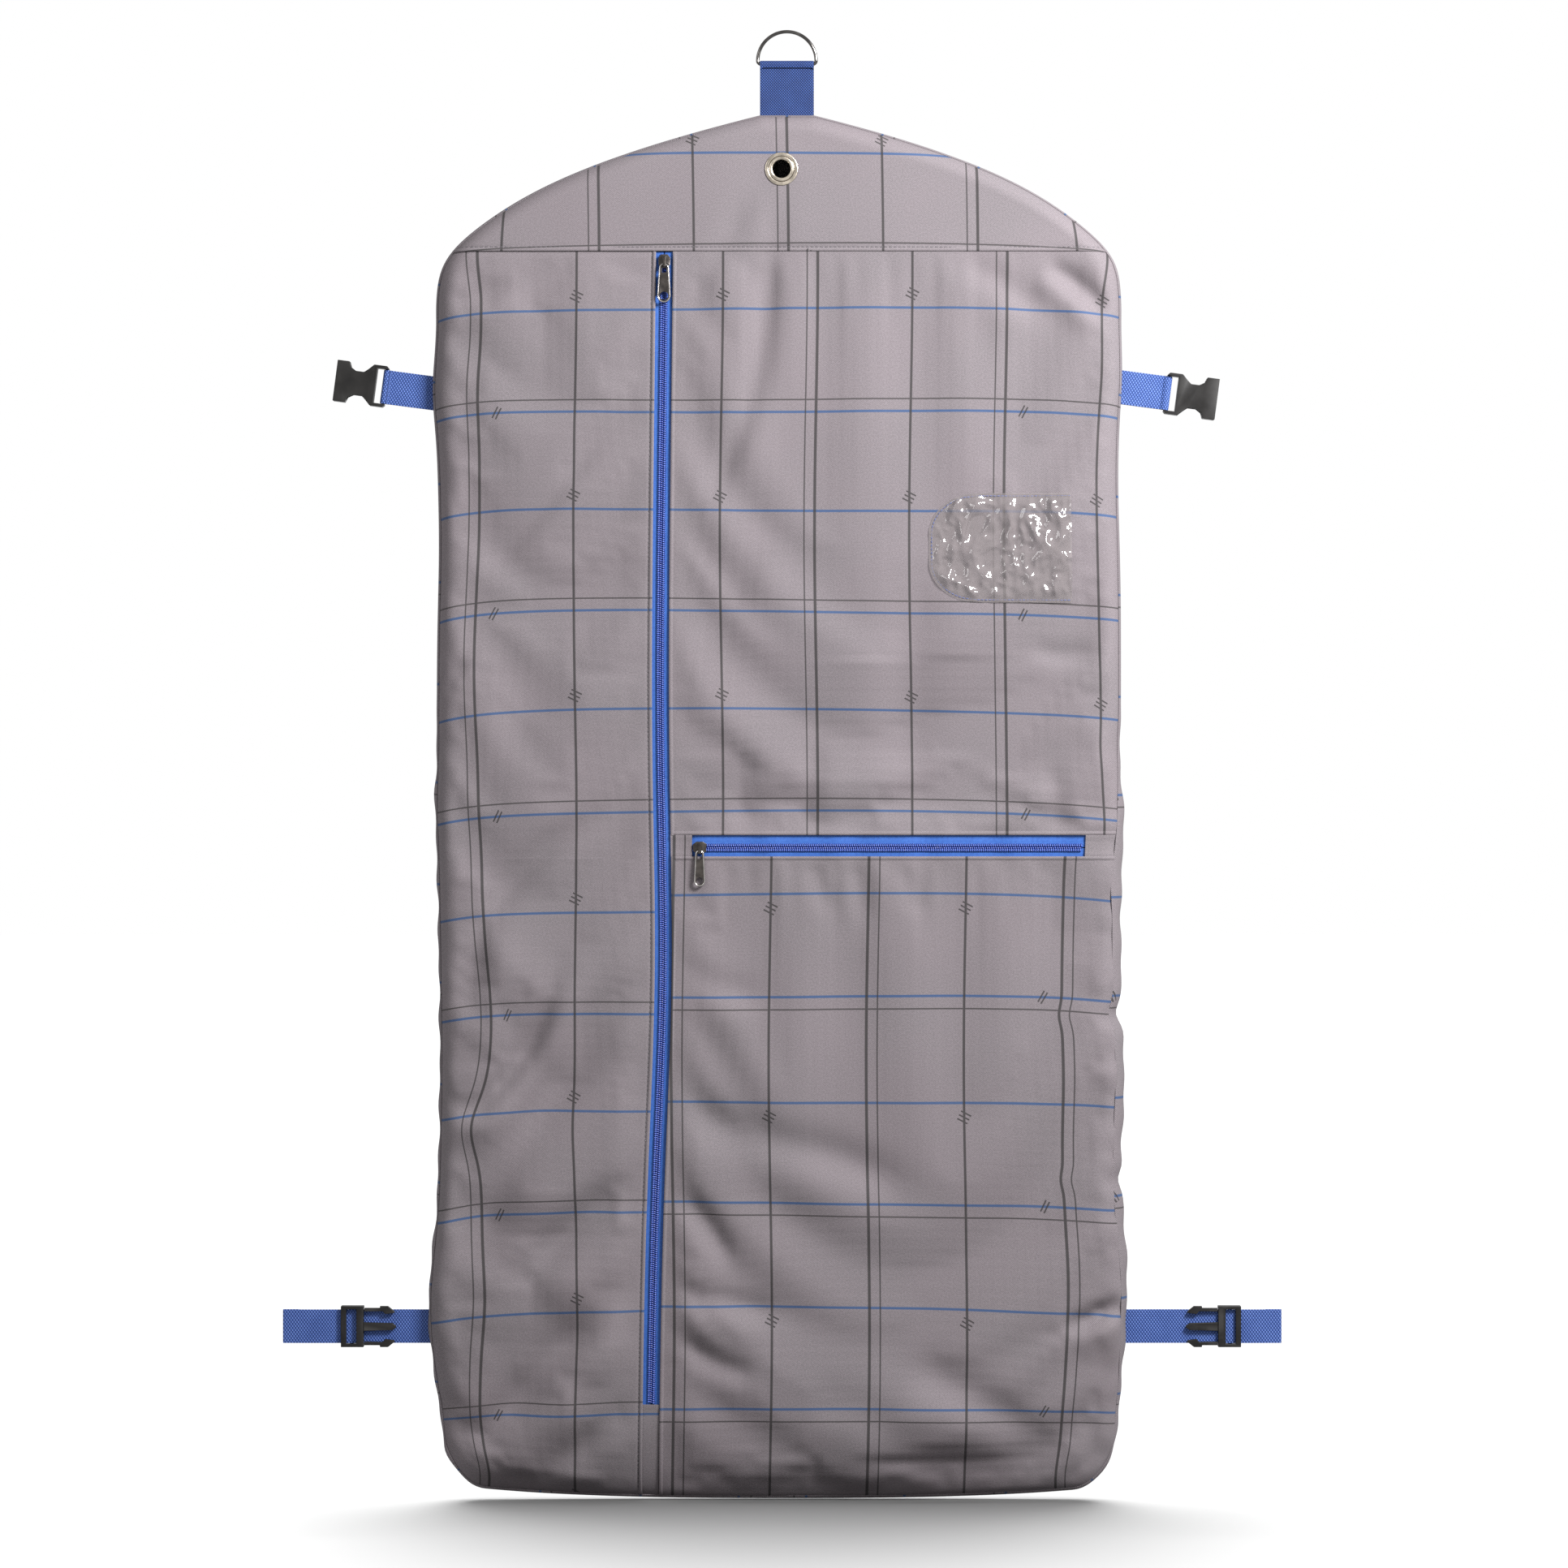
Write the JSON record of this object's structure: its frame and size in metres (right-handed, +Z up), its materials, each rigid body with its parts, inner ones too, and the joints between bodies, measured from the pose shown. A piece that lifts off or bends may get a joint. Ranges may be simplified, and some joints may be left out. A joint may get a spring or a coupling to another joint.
{
  "type": "garment bag",
  "caption": "Flat hanging garment bag in checked cloth with a long front zip, zipped lower pocket, card window, hanging ring and side straps that buckle it folded in half.",
  "frame": {"origin": "inner top of the hanging ring, where it rests on its hook", "axes": "+Z up along the hanging bag, -Y out of its front, +X to the right of someone facing the front"},
  "size_m": [0.7406, 0.0408, 1.0905],
  "materials": {
    "cloth": "warm grey woven polyester with a dark and blue window-pane check",
    "lining": "thin dark backing cloth",
    "webbing": "blue polypropylene webbing",
    "zip_tape": "blue woven zip tape with a moulded nylon coil",
    "buckle_plastic": "black moulded acetal",
    "gunmetal": "gunmetal plated zinc",
    "nickel": "polished nickel plate",
    "clear_vinyl": "clear soft vinyl film"
  },
  "bodies": {
    "bag_upper": {"front_yoke": "cloth", "left_panel_upper": "cloth", "right_panel": "cloth", "back_panel_upper": "cloth", "gusset_left_upper": "cloth", "gusset_right_upper": "cloth", "zip_left_upper": "zip_tape", "zip_right_upper": "zip_tape", "card_window": "clear_vinyl", "eyelet": "nickel", "eyelet_washer": "nickel", "hanging_loop": "webbing"},
    "ring": {"d_ring": "nickel"},
    "main_slider": {"main_slider": "gunmetal"},
    "main_pull": {"main_pull": "gunmetal"},
    "fold_spine": {"left_panel_fold": "cloth", "back_panel_fold": "cloth", "gusset_left_fold": "cloth", "gusset_right_fold": "cloth", "zip_left_fold": "zip_tape", "zip_right_fold": "zip_tape", "pocket_panel_fold": "cloth", "pocket_lining_fold": "lining", "pocket_tab_left": "cloth", "pocket_tab_right": "cloth", "pocket_zip_top": "zip_tape", "pocket_zip_bottom": "zip_tape"},
    "pocket_slider": {"pocket_slider": "gunmetal"},
    "pocket_pull": {"pocket_pull": "gunmetal"},
    "bag_lower": {"left_panel_lower": "cloth", "back_panel_lower": "cloth", "gusset_left_lower": "cloth", "gusset_right_lower": "cloth", "zip_left_lower": "zip_tape", "zip_right_lower": "zip_tape", "pocket_panel_lower": "cloth", "pocket_lining_lower": "lining", "zip_end_patch": "cloth"},
    "strap_upper_left": {"strap_upper_left": "webbing"},
    "socket_left": {"buckle_socket_left": "buckle_plastic"},
    "strap_lower_left": {"strap_lower_left": "webbing"},
    "plug_left": {"buckle_plug_left": "buckle_plastic"},
    "prong_left_top": {"prong_left_top": "buckle_plastic"},
    "prong_left_bottom": {"prong_left_bottom": "buckle_plastic"},
    "strap_upper_right": {"strap_upper_right": "webbing"},
    "socket_right": {"buckle_socket_right": "buckle_plastic"},
    "strap_lower_right": {"strap_lower_right": "webbing"},
    "plug_right": {"buckle_plug_right": "buckle_plastic"},
    "prong_right_top": {"prong_right_top": "buckle_plastic"},
    "prong_right_bottom": {"prong_right_bottom": "buckle_plastic"}
  },
  "joints": [
    {"name": "ring_swing", "type": "hinge", "parent": "bag_upper", "child": "ring", "pos_m": [0, 0, -0.0231], "axis": [1, 0, 0], "range_deg": [-100, 100]},
    {"name": "main_zip_slide", "type": "slide", "parent": "bag_upper", "child": "main_slider", "axis": [0.0117, 0, 0.9999], "range_m": [-0.84, 0]},
    {"name": "main_pull_lift", "type": "hinge", "parent": "main_slider", "child": "main_pull", "pos_m": [-0.09059, -0.0208, -0.174], "axis": [-0.9999, 0, 0.0117], "range_deg": [0, 170]},
    {"name": "fold_upper", "type": "hinge", "parent": "bag_upper", "child": "fold_spine", "pos_m": [0, 0.018, -0.596], "axis": [1, 0, 0], "range_deg": [0, 88]},
    {"name": "fold_lower", "type": "hinge", "parent": "fold_spine", "child": "bag_lower", "pos_m": [0, 0.018, -0.631], "axis": [1, 0, 0], "range_deg": [0, 88]},
    {"name": "pocket_zip_slide", "type": "slide", "parent": "fold_spine", "child": "pocket_slider", "axis": [1, 0, 0], "range_m": [0, 0.277]},
    {"name": "pocket_pull_lift", "type": "hinge", "parent": "pocket_slider", "child": "pocket_pull", "pos_m": [-0.0645, -0.0208, -0.6074], "axis": [-1, 0, 0], "range_deg": [0, 170]},
    {"name": "strap_upper_left_swing", "type": "hinge", "parent": "bag_upper", "child": "strap_upper_left", "pos_m": [-0.2598, 0, -0.268], "axis": [0, 0, 1], "range_deg": [-30, 30]},
    {"name": "socket_left_tilt", "type": "hinge", "parent": "strap_upper_left", "child": "socket_left", "pos_m": [-0.29847, 0, -0.26291], "axis": [0.1305, 0, 0.9914], "range_deg": [-40, 40]},
    {"name": "strap_lower_left_swing", "type": "hinge", "parent": "bag_lower", "child": "strap_lower_left", "pos_m": [-0.2598, 0, -0.961], "axis": [0, 0, 1], "range_deg": [-30, 30]},
    {"name": "plug_left_adjust", "type": "slide", "parent": "strap_lower_left", "child": "plug_left", "axis": [-1, 0, 0], "range_m": [-0.02, 0.022]},
    {"name": "prong_left_top_squeeze", "type": "hinge", "parent": "plug_left", "child": "prong_left_top", "pos_m": [-0.314, -0.0024, -0.94845], "axis": [0, 1, 0], "range_deg": [0, 12], "stiffness_Nm_per_rad": 0.3},
    {"name": "prong_left_bottom_squeeze", "type": "hinge", "parent": "plug_left", "child": "prong_left_bottom", "pos_m": [-0.314, -0.0024, -0.97355], "axis": [0, -1, 0], "range_deg": [0, 12], "stiffness_Nm_per_rad": 0.3},
    {"name": "strap_upper_right_swing", "type": "hinge", "parent": "bag_upper", "child": "strap_upper_right", "pos_m": [0.2478, 0, -0.263], "axis": [0, 0, -1], "range_deg": [-30, 30]},
    {"name": "socket_right_tilt", "type": "hinge", "parent": "strap_upper_right", "child": "socket_right", "pos_m": [0.2825, 0, -0.26757], "axis": [-0.1305, 0, -0.9914], "range_deg": [-40, 40]},
    {"name": "strap_lower_right_swing", "type": "hinge", "parent": "bag_lower", "child": "strap_lower_right", "pos_m": [0.2478, 0, -0.961], "axis": [0, 0, -1], "range_deg": [-30, 30]},
    {"name": "plug_right_adjust", "type": "slide", "parent": "strap_lower_right", "child": "plug_right", "axis": [1, 0, 0], "range_m": [-0.038, 0.01]},
    {"name": "prong_right_top_squeeze", "type": "hinge", "parent": "plug_right", "child": "prong_right_top", "pos_m": [0.32, -0.0024, -0.94845], "axis": [0, -1, 0], "range_deg": [0, 12], "stiffness_Nm_per_rad": 0.3},
    {"name": "prong_right_bottom_squeeze", "type": "hinge", "parent": "plug_right", "child": "prong_right_bottom", "pos_m": [0.32, -0.0024, -0.97355], "axis": [0, 1, 0], "range_deg": [0, 12], "stiffness_Nm_per_rad": 0.3}
  ]
}
